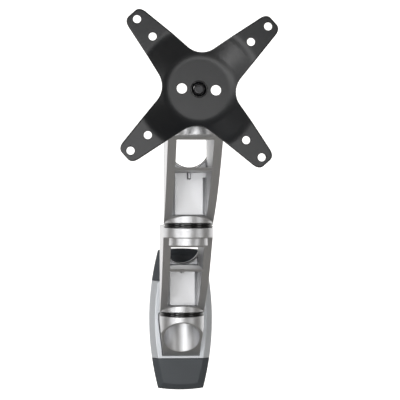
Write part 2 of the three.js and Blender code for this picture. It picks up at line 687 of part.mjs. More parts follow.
function tiltHardware() {
  const outside = EAR_OUTER + GAP;
  const shank = 2 * outside + TILT_HEAD_LENGTH;
  const bolt = part(
    "tilt_bolt",
    geometryOf(socketBolt(TILT_BOLT_RADIUS, shank, TILT_HEAD_RADIUS, TILT_HEAD_LENGTH)),
    blackSteel(),
  );
  bolt.rotation.y = HALF_TURN;
  bolt.position.set(outside, -TILT_REACH, TILT_HEIGHT);
  const hexagon = new THREE.CylinderGeometry(TILT_HEAD_RADIUS, TILT_HEAD_RADIUS, TILT_HEAD_LENGTH, 6);
  hexagon.rotateZ(HALF_TURN).translate(-outside - TILT_HEAD_LENGTH / 2, -TILT_REACH, TILT_HEIGHT);
  const bore = barX(TILT_BORE, TILT_PLACE, -2 * outside - TILT_HEAD_LENGTH, 0);
  const nut = cast("tilt_nut", cutBy(solidOf(hexagon), bore), zinc());
  const washers = [
    ["tilt_washer_left", -WASHER_INNER - TILT_WASHER_THICKNESS],
    ["tilt_washer_right", WASHER_INNER],
  ].map(([name, x]) => {
    const profile = ringProfile(TILT_BORE, TILT_RADIUS - 0.3, 0, TILT_WASHER_THICKNESS);
    const washer = part(name, turned(profile, SMALL_SIDES), nylon());
    washer.rotation.y = HALF_TURN;
    washer.position.set(x, -TILT_REACH, TILT_HEIGHT);
    return washer;
  });
  return [bolt, nut, ...washers];
}

// ---------------------------------------------------------------- display plate

const ROLL_WASHER_THICKNESS = 0.7;
const PLATE_BACK = BOSS_FRONT - GAP - ROLL_WASHER_THICKNESS - GAP;

// The X-shaped outline: four tapering legs with round-cornered tips, and an arc in each notch that
// runs smoothly into the legs on both sides
function plateOutline() {
  const taper = THREE.MathUtils.degToRad(LEG_TAPER);
  const diagonal = Math.PI / 4;
  const holeAlong = VESA_LARGE * Math.SQRT1_2;
  const halfWidthAt = (along) => LEG_HALF_WIDTH + (holeAlong - along) * Math.tan(taper);
  const normal = diagonal - taper;
  const edgeDistance = (LEG_HALF_WIDTH + holeAlong * Math.tan(taper)) * Math.cos(taper);
  const notch = (WAIST_RADIUS * Math.cos(normal) - edgeDistance) / (1 - Math.cos(normal));
  const notchCentre = WAIST_RADIUS + notch;
  const shape = new THREE.Shape();
  for (let leg = 0; leg < 4; leg += 1) {
    const angle = diagonal + leg * HALF_TURN;
    const at = (along, across) => [
      along * Math.cos(angle) - across * Math.sin(angle),
      along * Math.sin(angle) + across * Math.cos(angle),
    ];
    const shoulder = LEG_LENGTH - TIP_ROUND;
    const tipHalf = halfWidthAt(LEG_LENGTH);
    const firstPoint = at(shoulder, -halfWidthAt(shoulder));
    if (leg === 0) shape.moveTo(...firstPoint);
    else shape.lineTo(...firstPoint);
    shape.quadraticCurveTo(...at(LEG_LENGTH, -tipHalf), ...at(LEG_LENGTH, TIP_ROUND * 0.75 - tipHalf));
    shape.lineTo(...at(LEG_LENGTH, tipHalf - TIP_ROUND * 0.75));
    shape.quadraticCurveTo(...at(LEG_LENGTH, tipHalf), ...at(shoulder, halfWidthAt(shoulder)));
    const next = angle + diagonal;
    shape.absarc(
      notchCentre * Math.cos(next),
      notchCentre * Math.sin(next),
      notch,
      next + Math.PI + normal,
      next + Math.PI - normal,
      true,
    );
  }
  return shape;
}

// The pressed sheet: a flat middle, a conical step and flat pads, with soft folds
function dishedSheet() {
  const outer = LEG_LENGTH + 5;
  const slope = PAD_STEP / (PAD_RADIUS - DISH_RADIUS);
  const fold = 3;
  const line = new THREE.Path();
  line.moveTo(0, 0);
  line.lineTo(DISH_RADIUS - fold, 0);
  line.quadraticCurveTo(DISH_RADIUS, 0, DISH_RADIUS + fold, fold * slope);
  line.lineTo(PAD_RADIUS - fold, PAD_STEP - fold * slope);
  line.quadraticCurveTo(PAD_RADIUS, PAD_STEP, PAD_RADIUS + fold, PAD_STEP);
  line.lineTo(outer, PAD_STEP);
  const back = line.getPoints(3).map(({ x, y }) => [x, y]);
  const front = back.map(([x, y]) => [x, y + SHEET]).reverse();
  return turned([...back, ...front], LARGE_SIDES).rotateX(HALF_TURN).translate(0, PLATE_BACK, 0);
}

function displayPlate() {
  const thick = SHEET + PAD_STEP + 2;
  const outline = frontPrism(plateOutline(), PLATE_BACK + 1, PLATE_BACK - thick, { curveSegments: 5 });
  const blank = solidOf(outline).intersect(solidOf(dishedSheet()));
  const reach = [PLATE_BACK - thick, PLATE_BACK + 1];
  const corners = [[-1, -1], [-1, 1], [1, -1], [1, 1]];
  const screwHoles = [VESA_LARGE / 2, VESA_SMALL / 2].flatMap((half) =>
    corners.map(([sx, sz]) => barY(VESA_HOLE_RADIUS, [sx * half, sz * half], ...reach)),
  );
  const sideHoles = [-SIDE_HOLE_SPREAD, SIDE_HOLE_SPREAD].map((x) =>
    barY(SIDE_HOLE_RADIUS, [x, 0], ...reach),
  );
  const centreHole = barY(CENTRE_SCREW_RADIUS + GAP, [0, 0], ...reach);
  return cast("display_plate", cutBy(blank, ...screwHoles, ...sideHoles, centreHole), satinBlack());
}

function displayHardware() {
  const bore = CENTRE_SCREW_RADIUS + GAP;
  const roll = part(
    "roll_washer",
    turned(ringProfile(bore, BOSS_RADIUS - 0.5, 0, ROLL_WASHER_THICKNESS), SMALL_SIDES),
    nylon(),
  );
  roll.rotation.x = HALF_TURN;
  roll.position.y = BOSS_FRONT - GAP;
  const face = PLATE_BACK - SHEET - GAP;
  const dish = part(
    "centre_washer",
    turned([
      [bore, 0],
      [CENTRE_WASHER_RADIUS, 0],
      [CENTRE_WASHER_RADIUS, 1.6],
      [CENTRE_WASHER_RADIUS - 0.8, 2],
      [bore, 1],
      [bore, 0],
    ], SMALL_SIDES),
    glossBlack(),
  );
  dish.rotation.x = HALF_TURN;
  dish.position.y = face;
  const seat = face - 1 - GAP;
  const length = BOSS_BACK - GAP - seat;
  const screw = part(
    "centre_screw",
    geometryOf(socketBolt(CENTRE_SCREW_RADIUS, length, CENTRE_SCREW_RADIUS + 0.05, 2.4)),
    blackSteel(),
  );
  screw.rotation.x = HALF_TURN;
  screw.position.y = seat;
  return [roll, dish, screw];
}

// ---------------------------------------------------------------- assembly

function wallSide() {
  const group = new THREE.Group();
  group.add(wallBracket(), wallCover(), endCap("top_end_cap", 1), endCap("bottom_end_cap", -1));
  group.add(coverScrew("cover_screw_top", 1), coverScrew("cover_screw_bottom", -1));
  baseScrewPlaces().forEach((place, index) => group.add(baseScrew(`base_screw_${index + 1}`, place)));
  group.add(baseBracket());
  return group;
}

function headSide() {
  const group = new THREE.Group();
  group.position.set(0, HEAD_Y, HEAD_FLOOR);
  group.add(swivelHead(), tiltBlock(), ...tiltHardware());
  const display = new THREE.Group();
  display.position.z = DISPLAY_HEIGHT;
  display.rotation.y = THREE.MathUtils.degToRad(DISPLAY_ROLL);
  display.add(displayPlate(), ...displayHardware());
  group.add(display);
  return group;
}

const armHeadFloor = (floor) => floor + COUNTERBORE_FLOOR;
const ringFloorUnder = (floor) => floor - GAP - RING_HEIGHT;
const threadInArm = THREAD_DEPTH + GAP;
const threadInBase = BASE_ROOF + GAP - THREAD_SHORT;
const headBush = HEAD_HEIGHT - HEAD_ROOF - HEAD_BUSH_SHORT;
const elbowRing = ringFloorUnder(ARM_2_FLOOR);
const headRing = ringFloorUnder(HEAD_FLOOR);

const mount = new THREE.Group();
mount.add(wallSide());
mount.add(pivot("base", PIVOT_Y, BASE_TOP + GAP, armHeadFloor(ARM_1_FLOOR), threadInBase, BUSH_LENGTH));
mount.add(arm(1, PIVOT_Y, ARM_1_FLOOR, SCREW_PROUD));
mount.add(pivot("elbow", ELBOW_Y, elbowRing, armHeadFloor(ARM_2_FLOOR), threadInArm, BUSH_LENGTH));
mount.add(arm(2, ELBOW_Y, ARM_2_FLOOR, SCREW_SUNK));
mount.add(pivot("head", HEAD_Y, headRing, HEAD_FLOOR + HEAD_HEIGHT, threadInArm, headBush));
mount.add(headSide());

export default mount;
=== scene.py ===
# %% [markdown]
# # A full motion wall mount, finished in Blender
#
# The mount hangs on a wall and reaches out towards the viewer: a housed wall plate, a cast base
# bracket, two hollow arms stacked on upright pivots, a tilting head and an X-shaped steel plate.
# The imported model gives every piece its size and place. This script gives each one its finish.

# %% Load the fixed frame
import json
import math

import bmesh
import bpy
from mathutils import Matrix, Vector


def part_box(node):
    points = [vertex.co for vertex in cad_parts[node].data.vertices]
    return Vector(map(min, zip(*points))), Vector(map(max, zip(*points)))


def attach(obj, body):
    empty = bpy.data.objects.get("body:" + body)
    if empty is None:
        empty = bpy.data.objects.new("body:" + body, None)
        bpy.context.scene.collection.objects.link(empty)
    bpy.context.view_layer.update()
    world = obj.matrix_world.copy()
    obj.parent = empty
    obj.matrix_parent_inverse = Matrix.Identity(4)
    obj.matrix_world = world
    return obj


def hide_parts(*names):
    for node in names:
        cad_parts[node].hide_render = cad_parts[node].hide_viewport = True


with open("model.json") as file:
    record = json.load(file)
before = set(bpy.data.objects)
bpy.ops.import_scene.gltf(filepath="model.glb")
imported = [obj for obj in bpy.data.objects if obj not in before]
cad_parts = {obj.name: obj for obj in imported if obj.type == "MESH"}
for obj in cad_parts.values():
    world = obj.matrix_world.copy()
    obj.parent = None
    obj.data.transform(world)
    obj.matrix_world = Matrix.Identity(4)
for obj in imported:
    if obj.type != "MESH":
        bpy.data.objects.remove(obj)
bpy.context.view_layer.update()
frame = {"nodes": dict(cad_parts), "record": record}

MM = 0.001

# %% [markdown]
# ## The camera
#
# The mount is more than three times as deep as it is wide, so a wide lens would make the near
# display plate look huge. A long lens from straight in front, a little to the left of the arms,
# keeps the two plates in proportion. The camera is level, half way up between them.

# %% Camera
LENS, SENSOR = 122.9, 36
NEAREST, FARTHEST = 0.05, 30
CAMERA_PLACE = Vector((-54, -1427, 123.3)) * MM
CAMERA_TURN = math.radians(-3)

camera_data = bpy.data.cameras.new("studio_camera")
camera_data.lens, camera_data.sensor_width = LENS, SENSOR
camera_data.clip_start, camera_data.clip_end = NEAREST, FARTHEST
camera = bpy.data.objects.new("studio_camera", camera_data)
camera.location = CAMERA_PLACE
camera.rotation_euler = (math.pi / 2, 0, CAMERA_TURN)
bpy.context.scene.collection.objects.link(camera)
bpy.context.scene.camera = camera
print("camera", tuple(camera.location), "lens", LENS)

# %% [markdown]
# ## Shader helpers
#
# Node trees are easier to read as sums. `Value` wraps one socket and turns +, - and * into Math
# nodes, and `Finish` makes any other node from its type, its settings and its inputs.

# %% Sums of sockets
class Value:
    """A socket that can be used in sums."""

    def __init__(self, finish, socket):
        self.finish, self.socket = finish, socket

    def _sum(self, operation, first, second):
        made = self.finish.node("ShaderNodeMath", {"operation": operation}, {0: first, 1: second})
        return Value(self.finish, made.outputs[0])

    def __add__(self, other):
        return self._sum("ADD", self, other)

    def __sub__(self, other):
        return self._sum("SUBTRACT", self, other)

    def __rsub__(self, other):
        return self._sum("SUBTRACT", other, self)

    def __mul__(self, other):
        return self._sum("MULTIPLY", self, other)

    __radd__, __rmul__ = __add__, __mul__


# %% One material and its nodes
class Finish:
    """One material, with its Principled shader and the helpers that feed it."""

    def __init__(self, name, **fixed):
        self.material = bpy.data.materials.new(name)
        self.material.use_nodes = True
        self.tree = self.material.node_tree
        self.shader = self.tree.nodes["Principled BSDF"]
        for socket, value in fixed.items():
            self.shader.inputs[socket.replace("_", " ")].default_value = value
        self.place = self.node("ShaderNodeTexCoord").outputs["Object"]

    def node(self, kind, settings=(), inputs=()):
        made = self.tree.nodes.new(kind)
        for name, value in dict(settings).items():
            setattr(made, name, value)
        for key, value in dict(inputs).items():
            value = value.socket if isinstance(value, Value) else value
            if isinstance(value, bpy.types.NodeSocket):
                self.tree.links.new(value, made.inputs[key])
            else:
                made.inputs[key].default_value = value
        return made

    def noise(self, per_mm, detail=3.0):
        """Noise from 0 to 1 with that many blotches to the millimetre."""
        scale = (per_mm / MM,) * 3
        mapped = self.node("ShaderNodeMapping", inputs={"Vector": self.place, "Scale": scale})
        made = self.node(
            "ShaderNodeTexNoise", inputs={"Vector": mapped.outputs[0], "Scale": 1.0, "Detail": detail}
        )
        return Value(self, made.outputs["Fac"])

    def between(self, mask, low, high):
        """A colour that goes from low to high as mask goes from 0 to 1."""
        inputs = {0: mask, 6: (*low, 1), 7: (*high, 1)}
        return self.node("ShaderNodeMix", {"data_type": "RGBA"}, inputs).outputs[2]

    def feed(self, socket, value):
        value = value.socket if isinstance(value, Value) else value
        self.tree.links.new(value, self.shader.inputs[socket])

    def grain(self, height, depth_mm):
        inputs = {"Height": height, "Distance": depth_mm * MM, "Strength": 1.0}
        self.feed("Normal", self.node("ShaderNodeBump", inputs=inputs).outputs[0])


# %% [markdown]
# ## The finishes
#
# The arms are cast aluminium with a fine silver coat, the housing is moulded plastic in two
# colours, the pivot rings are polished black plastic and the display plate is powder-coated steel.
# One flat colour would look like a drawing, so each finish mixes a broad cloud with a fine speck.
# That mask shifts the tone and the gloss a little, and the speck also lifts the skin. Object
# coordinates keep the grain at its real size on every piece.

# %% A finish with a grain
CLOUDS_PER_MM = 0.02
CLOUD_SHARE, SPECK_SHARE = 0.45, 0.55
GLOSS_CHANGE = 0.12
finishes = {}


def tint(base, share):
    return tuple(min(1.0, channel * share) for channel in base)


def painted(name, base, roughness, metallic, spread, grain_mm, grain_depth):
    """A paint or plastic: its tone and gloss wander a little, and its skin has a fine grain."""
    made = Finish(name, Metallic=metallic)
    cloud = made.noise(CLOUDS_PER_MM)
    speck = made.noise(1 / grain_mm, detail=2.0)
    mask = cloud * CLOUD_SHARE + speck * SPECK_SHARE
    made.feed("Base Color", made.between(mask, tint(base, 1 - spread), tint(base, 1 + spread)))
    made.feed("Roughness", (mask - 0.5) * GLOSS_CHANGE + roughness)
    made.grain(speck, grain_depth)
    finishes[name] = made.material


# %% Finishes: colour, roughness, metallic, spread of tone, size and depth of the grain in mm
painted("cast_silver", (0.6, 0.605, 0.62), 0.4, 0.93, 0.09, 0.45, 0.035)
painted("cover_silver", (0.7, 0.73, 0.77), 0.42, 0.4, 0.03, 0.4, 0.006)
painted("slate_plastic", (0.068, 0.078, 0.089), 0.5, 0.0, 0.06, 0.35, 0.02)
painted("gloss_black", (0.006, 0.006, 0.007), 0.14, 0.0, 0.1, 3.0, 0.004)
painted("black_paint", (0.0065, 0.0075, 0.0095), 0.3, 0.0, 0.08, 0.4, 0.02)
painted("nylon", (0.66, 0.63, 0.56), 0.5, 0.0, 0.04, 1.0, 0.01)
painted("black_steel", (0.04, 0.04, 0.042), 0.3, 0.9, 0.15, 0.6, 0.01)
painted("zinc", (0.55, 0.56, 0.57), 0.28, 1.0, 0.05, 0.8, 0.01)
print("finishes", sorted(finishes))

# %% [markdown]
# ## Solids from bmesh operators
#
# The castings are simple solids added together and cut out of one another, which is also how their
# moulds are made. Each helper starts from one operator (a cube, a cone, a spin or an extruded face)
# and works in millimetres; the finished piece is scaled to metres once, at the end.

# %% Blocks, bars and prisms
ROUND, SCREW_ROUND, SMALL_ROUND, TINY_ROUND = 96, 64, 48, 32  # sides of a round shape
HEXAGON = 6
QUARTER = math.pi / 2
AXES = {"X": 0, "Y": 1, "Z": 2}
CLEAR = 1  # how far a cutting shape stands past the face that it cuts


def block(low, high):
    """A box from its lowest to its highest corner."""
    bm = bmesh.new()
    low, high = Vector(low), Vector(high)
    bmesh.ops.create_cube(bm, size=1.0)
    bmesh.ops.scale(bm, vec=high - low, verts=bm.verts)
    bmesh.ops.translate(bm, vec=(low + high) / 2, verts=bm.verts)
    return bm


def spread(axis, at, along):
    """A point from its two coordinates across an axis and its coordinate along it."""
    place = list(at)
    place.insert(AXES[axis], along)
    return Vector(place)


def bar(axis, radius, at, low, high, sides=ROUND):
    """A round bar along an axis, or a six-sided one where sides is 6."""
    bm = bmesh.new()
    bmesh.ops.create_cone(
        bm, cap_ends=True, segments=sides, radius1=radius, radius2=radius, depth=high - low
    )
    if axis != "Z":
        turn = Matrix.Rotation(QUARTER, 3, "Y" if axis == "X" else "X")
        bmesh.ops.rotate(bm, verts=bm.verts, cent=(0, 0, 0), matrix=turn)
    bmesh.ops.translate(bm, vec=spread(axis, at, (low + high) / 2), verts=bm.verts)
    return bm


def prism(axis, outline, low, high):
    """A flat outline made thick along an axis."""
    bm = bmesh.new()
    face = bm.faces.new([bm.verts.new(spread(axis, point, low)) for point in outline])
    grown = bmesh.ops.extrude_face_region(bm, geom=[face])["geom"]
    moved = [item for item in grown if isinstance(item, bmesh.types.BMVert)]
    bmesh.ops.translate(bm, vec=spread(axis, (0, 0), high - low), verts=moved)
    bmesh.ops.recalc_face_normals(bm, faces=bm.faces)
    return bm


# %% Curves and turned solids
WELD = 0.0005  # mm: points nearer than this are one point
CORNER_SHARE = 0.45  # of a side, the most that a rounded corner takes


def bent(start, handle, end, steps):
    """Points of a curve from start to end, pulled towards its handle."""
    start, handle, end = Vector(start), Vector(handle), Vector(end)
    curve = []
    for i in range(steps + 1):
        t = i / steps
        curve.append(start * (1 - t) ** 2 + handle * (2 * t * (1 - t)) + end * t**2)
    return [tuple(p) for p in curve]


def rounded(profile, radius, steps=3):
    """A closed profile with its corners rounded by short curves."""
    points = []
    for before, corner, after in zip(profile[-1:] + profile[:-1], profile, profile[1:] + profile[:1]):
        corner = Vector(corner)
        back, ahead = Vector(before) - corner, Vector(after) - corner
        reach = min(radius, back.length * CORNER_SHARE, ahead.length * CORNER_SHARE)
        start, end = corner + back.normalized() * reach, corner + ahead.normalized() * reach
        points += bent(start, corner, end, steps)
    return points


def turned(profile, steps=ROUND, closed=False):
    """A solid spun round Z from (radius, height) points; a closed profile makes a ring."""
    bm = bmesh.new()
    verts = [bm.verts.new((radius, 0, height)) for radius, height in profile]
    ends = verts[1:] + verts[:1] if closed else verts[1:]
    geom = verts + [bm.edges.new(pair) for pair in zip(verts, ends)]
    bmesh.ops.spin(
        bm, geom=geom, cent=(0, 0, 0), axis=(0, 0, 1), angle=math.tau, steps=steps, use_merge=True
    )
    bmesh.ops.remove_doubles(bm, verts=bm.verts, dist=WELD)
    bmesh.ops.recalc_face_normals(bm, faces=bm.faces)
    return bm


def turn_and_move(bm, turn=Matrix(), move=(0, 0, 0)):
    bmesh.ops.transform(bm, matrix=Matrix.Translation(Vector(move)) @ turn, verts=bm.verts)
    return bm


sample = bar("Z", 10, (0, 0), 0, 10)
print("a bar of 20 mm by 10 mm holds", round(sample.calc_volume()), "mm3")
sample.free()

# %% [markdown]
# ## Adding and cutting
#
# Blender's Boolean modifier does the adding and cutting. The solids are lent to it as objects, the
# result is read back through the dependency graph, and the lent objects are removed again. The
# exact solver leaves doubled points and faces cut into strips, so those are merged afterwards.

# %% Booleans
CUT_WELD = 0.001
CUT_FLAT = math.radians(0.2)


def lent_object(bm):
    mesh = bpy.data.meshes.new("lent")
    bm.to_mesh(mesh)
    bm.free()
    lent = bpy.data.objects.new("lent", mesh)
    bpy.context.scene.collection.objects.link(lent)
    return lent


def applied(whole, operation, tools):
    """The lent whole after a Boolean with each lent tool, as a bmesh."""
    for tool in tools:
        step = whole.modifiers.new("step", "BOOLEAN")
        step.operation, step.solver, step.object = operation, "EXACT", tool
    result = bmesh.new()
    result.from_object(whole, bpy.context.evaluated_depsgraph_get())
    for lent in [whole, *tools]:
        mesh = lent.data
        bpy.data.objects.remove(lent)
        bpy.data.meshes.remove(mesh)
    return result


def join_flat_faces(bm, angle):
    bmesh.ops.dissolve_limit(
        bm, angle_limit=angle, verts=bm.verts, edges=bm.edges, use_dissolve_boundaries=False
    )


def combined(first, operation, *others):
    """The first solid with the others added (UNION), cut out (DIFFERENCE) or kept (INTERSECT)."""
    result = applied(lent_object(first), operation, [lent_object(bm) for bm in others])
    bmesh.ops.remove_doubles(result, verts=result.verts, dist=CUT_WELD)
    join_flat_faces(result, CUT_FLAT)
    return result


sample = combined(block((0, 0, 0), (4, 4, 4)), "DIFFERENCE", block((2, 2, 2), (5, 5, 5)))
print("a block with a corner cut out has", len(sample.faces), "faces")
sample.free()

# %% [markdown]
# ## From a bmesh to a shown piece
#
# No cast or moulded edge is quite sharp, and a thin bright line along an edge is what makes metal
# look like metal. A Bevel modifier rounds every edge sharper than its angle. A Weighted Normal
# modifier then lets the large faces decide the shading, so flat walls still look flat. A face with
# a deep notch can be filled wrongly when it is drawn, so faces with many sides become triangles.

# %% Finished pieces
SLOT_OF = {row["node"]: row["material_slot"] for row in frame["record"]["subparts"]}
BODY_OF = {n: b for b, members in frame["record"]["behaviour"]["bodies"].items() for n in members}
SMOOTH_BELOW = math.radians(32)
LARGE_FACES_LEAD = 50


def finish_piece(bm, node, soft_mm=0.0, segments=3):
    """Stands the solid, in millimetres, for a CAD node, and lets it ride where the node rides."""
    many_sided = [face for face in bm.faces if len(face.verts) > 4]
    bmesh.ops.triangulate(bm, faces=many_sided)
    bmesh.ops.recalc_face_normals(bm, faces=bm.faces)
    bmesh.ops.scale(bm, vec=(MM, MM, MM), verts=bm.verts)
    mesh = bpy.data.meshes.new(f"{node}_finished")
    bm.to_mesh(mesh)
    bm.free()
    mesh.shade_smooth()
    mesh.set_sharp_from_angle(angle=SMOOTH_BELOW)
    piece = bpy.data.objects.new(f"{node}_finished", mesh)
    bpy.context.scene.collection.objects.link(piece)
    if soft_mm:
        soft = piece.modifiers.new("soft_edges", "BEVEL")
        soft.width, soft.segments, soft.profile = soft_mm * MM, segments, 0.5
        soft.limit_method, soft.angle_limit = "ANGLE", SMOOTH_BELOW
        soft.use_clamp_overlap = False
        level = piece.modifiers.new("level_faces", "WEIGHTED_NORMAL")
        level.mode, level.weight, level.keep_sharp = "FACE_AREA", LARGE_FACES_LEAD, True
    mesh.materials.append(finishes[SLOT_OF[node]])
    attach(piece, BODY_OF[node])
    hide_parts(node)
    print(piece.name, len(mesh.polygons), "faces")


def box_mm(node):
    return [Vector(corner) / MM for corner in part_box(node)]


def axis_of(node):
    """Centre of a node in plan, and its lowest height."""
    low, high = box_mm(node)
    return (low.x + high.x) / 2, (low.y + high.y) / 2, low.z


# %% [markdown]
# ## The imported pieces
#
# The bushes, hidden screws, inner washers and the wall bracket are already right as packed. They
# are mostly hidden, so they keep their meshes and only get their finish.

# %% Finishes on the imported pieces
for node, cad_piece in frame["nodes"].items():
    cad_piece.data.materials.clear()
    cad_piece.data.materials.append(finishes[SLOT_OF[node]])

# %% [markdown]
# ## The arms
#
# Each arm is one hollow aluminium casting. Seen from above it is a long slot shape round its two
# pivots; seen from the side its underside sweeps up from the inner pivot to the thin rim of the
# outer one. Crossing the two outlines gives the body. Then the hollow over the shelf, the hollow
# under it, the drafted pocket in the column and the round cable window are cut away.

# %% The body of an arm
HUB_RADIUS = 22.4
ARM_REACH, ARM_HEIGHT = 150, 87.6
UNDERSIDE_START, UNDERSIDE_BOW, WEB_LOW = -4, 24, 69.0
HOLLOW_END = -133
RIM_RUN, RIM_LOW = 12.9, 78.7
NECK_RADIUS, NECK_LOW = 17.5, 71.4


def slot_outline(reach, steps=48):
    """The arm seen from above."""
    near = [i * math.pi / steps for i in range(steps + 1)]
    inner = [(HUB_RADIUS * math.cos(a), HUB_RADIUS * math.sin(a)) for a in near]
    outer = [(-x, -y - reach) for x, y in inner]
    return inner + (outer if reach else outer[1:-1])


def arm_side(beyond):
    """The arm from its side: the swept underside, the rim of the outer pivot and the flat top."""
    far = -ARM_REACH - beyond
    side = [(beyond, 0)]
    side += bent((UNDERSIDE_START, 0), (-ARM_REACH / 2, UNDERSIDE_BOW), (HOLLOW_END, WEB_LOW), 40)
    side += [(HOLLOW_END - RIM_RUN, RIM_LOW), (far, RIM_LOW)]
    return side + [(far, ARM_HEIGHT), (beyond, ARM_HEIGHT)]


def arm_body():
    beyond = HUB_RADIUS + CLEAR
    plan = prism("Z", slot_outline(ARM_REACH), 0, ARM_HEIGHT)
    body = combined(prism("X", arm_side(beyond), -beyond, beyond), "INTERSECT", plan)
    foot = prism("Z", slot_outline(0), 0, ARM_HEIGHT / 2)
    neck = bar("Z", NECK_RADIUS, (0, -ARM_REACH), NECK_LOW, RIM_LOW + CLEAR)
    return combined(body, "UNION", foot, neck)


# %% The hollows of an arm
HOLLOW_HALF = 15.2
COLUMN_FRONT = -18
SHELF_LOW, SHELF_HIGH, TOP_WEB_LOW = 45.2, 47.8, 84.6
POCKET_LOW, POCKET_HIGH, POCKET_BACK, POCKET_BACK_HALF = 6.9, 40.5, -11.2, 12.4
WINDOW_RADIUS, WINDOW_HEIGHT = 18.5, 67.2
OVERLAP = 0.1


def arm_hollows():
    half, end, inner = HOLLOW_HALF, HOLLOW_END, POCKET_BACK_HALF
    mouth = COLUMN_FRONT - OVERLAP
    pocket = [(half, mouth), (inner, POCKET_BACK), (-inner, POCKET_BACK), (-half, mouth)]
    return [
        block((-half, end, SHELF_HIGH), (half, COLUMN_FRONT, TOP_WEB_LOW)),
        block((-half, end, POCKET_LOW), (half, COLUMN_FRONT, SHELF_LOW)),
        prism("Z", pocket, POCKET_LOW, POCKET_HIGH),
        block((-half, COLUMN_FRONT - CLEAR, POCKET_HIGH - OVERLAP), (half, POCKET_BACK, SHELF_LOW)),
        bar("Y", WINDOW_RADIUS, (0, WINDOW_HEIGHT), mouth, HUB_RADIUS + 2 * CLEAR),
    ]


# %% The bores of an arm
BOLT_HOLE, HEAD_HOLE, BUSH_HOLE = 5.3, 8.8, 7.6
HEAD_SEAT, BUSH_SEAT, INSIDE_BUSH = 35.7, 30.3, 20
NECK_ROOF = 73.6
FRICTION_HOLE, FRICTION_HOLE_END, FRICTION_HEIGHT = 2.5, 7.3, 19


def arm_bores():
    outside = HUB_RADIUS + 2 * CLEAR
    return [
        bar("Z", HEAD_HOLE, (0, 0), HEAD_SEAT, WINDOW_HEIGHT, SMALL_ROUND),
        bar("Z", BOLT_HOLE, (0, 0), INSIDE_BUSH, HEAD_SEAT + CLEAR, SMALL_ROUND),
        bar("Z", BUSH_HOLE, (0, 0), -CLEAR, BUSH_SEAT, SMALL_ROUND),
        bar("Z", BOLT_HOLE, (0, -ARM_REACH), NECK_ROOF, ARM_HEIGHT + CLEAR, SMALL_ROUND),
        bar("X", FRICTION_HOLE, (0, FRICTION_HEIGHT), FRICTION_HOLE_END, outside, TINY_ROUND),
    ]


# %% Both arms
TAB_HALF, TAB_LOW, TAB_SET_BACK, TAB_ROOT = 1.2, 39.5, 0.2, 0.5


def arm(number, ring):
    x, y, _ = axis_of(ring)
    hollowed = combined(arm_body(), "DIFFERENCE", *arm_hollows())
    tab = block(
        (-TAB_HALF, COLUMN_FRONT + TAB_SET_BACK, TAB_LOW),
        (TAB_HALF, POCKET_BACK + TAB_ROOT, SHELF_LOW + TAB_ROOT),
    )
    cast = combined(combined(hollowed, "UNION", tab), "DIFFERENCE", *arm_bores())
    floor = box_mm(f"arm_{number}")[0].z
    finish_piece(turn_and_move(cast, move=(x, y, floor)), f"arm_{number}", 0.55)


arm(1, "base_pivot_ring")
arm(2, "elbow_pivot_ring")

# %% [markdown]
# ## The base bracket
#
# The base bracket is a second casting. Its roof carries the first pivot, its front slants back to
# the foot, and a round hollow is cut up through the slant, which leaves the bright crescent below
# the first black ring. A wide flange, hidden in the housing, is screwed to the wall plate.

# %% Base bracket
BASE_TOP, BASE_LOW, BASE_ROOF = 6.4, -37, 1.2
BASE_BACK, FOOT_HALF = -4.3, 18.2
NOSE_LIP, FRONT_SLOPE = 0.4, 0.82
FLANGE_WIDER, FLANGE_THICKNESS, FLANGE_RISE = 3, 4, 8
BASE_HOLLOW, HOLLOW_SHIFT = 18, 3.4
BASE_SCREW_HOLE, BASE_SCREW_END = 3.3, -16.3
BASE_SCREW_SIDE, BASE_SCREW_HEIGHTS = 11, (-1, -27)


def base_outlines(front):
    """The bracket seen from the front and from its side."""
    half, nose = HUB_RADIUS, BASE_ROOF - NOSE_LIP
    foot_y = front + (nose - BASE_LOW) / FRONT_SLOPE
    face = [(half, BASE_TOP), (-half, BASE_TOP), (-half, 0)]
    face += [(-FOOT_HALF, BASE_LOW), (FOOT_HALF, BASE_LOW), (half, 0)]
    side = [(BASE_BACK, BASE_LOW), (BASE_BACK, BASE_TOP), (front - CLEAR, BASE_TOP)]
    side += [(front - CLEAR, nose), (front, nose), (foot_y, BASE_LOW)]
    return face, side


def base_cuts(pivot_y):
    low = BASE_LOW - CLEAR
    cuts = [bar("Z", BASE_HOLLOW, (0, pivot_y - shift), low, BASE_ROOF) for shift in (0, HOLLOW_SHIFT)]
    cuts.append(bar("Z", BOLT_HOLE, (0, pivot_y), BASE_ROOF - CLEAR, BASE_TOP + CLEAR, SMALL_ROUND))
    for x in (-BASE_SCREW_SIDE, BASE_SCREW_SIDE):
        for z in BASE_SCREW_HEIGHTS:
            cuts.append(bar("Y", BASE_SCREW_HOLE, (x, z), BASE_SCREW_END, 0, TINY_ROUND))
    return cuts


def base_bracket():
    _, pivot_y, _ = axis_of("base_pivot_ring")
    half, front = HUB_RADIUS, pivot_y - HUB_RADIUS
    face, side = base_outlines(front)
    plan = combined(
        bar("Z", half, (0, pivot_y), BASE_LOW, BASE_TOP),
        "UNION",
        block((-half, pivot_y, BASE_LOW), (half, BASE_BACK, BASE_TOP)),
    )
    from_front = prism("Y", face, front - CLEAR, BASE_BACK)
    body = combined(from_front, "INTERSECT", prism("X", side, -half, half), plan)
    wide, flange_front = half + FLANGE_WIDER, BASE_BACK - FLANGE_THICKNESS
    flange = block((-wide, flange_front, BASE_LOW), (wide, BASE_BACK, BASE_TOP + FLANGE_RISE))
    cast = combined(combined(body, "UNION", flange), "DIFFERENCE", *base_cuts(pivot_y))
    finish_piece(cast, "base_bracket", 0.5)


base_bracket()

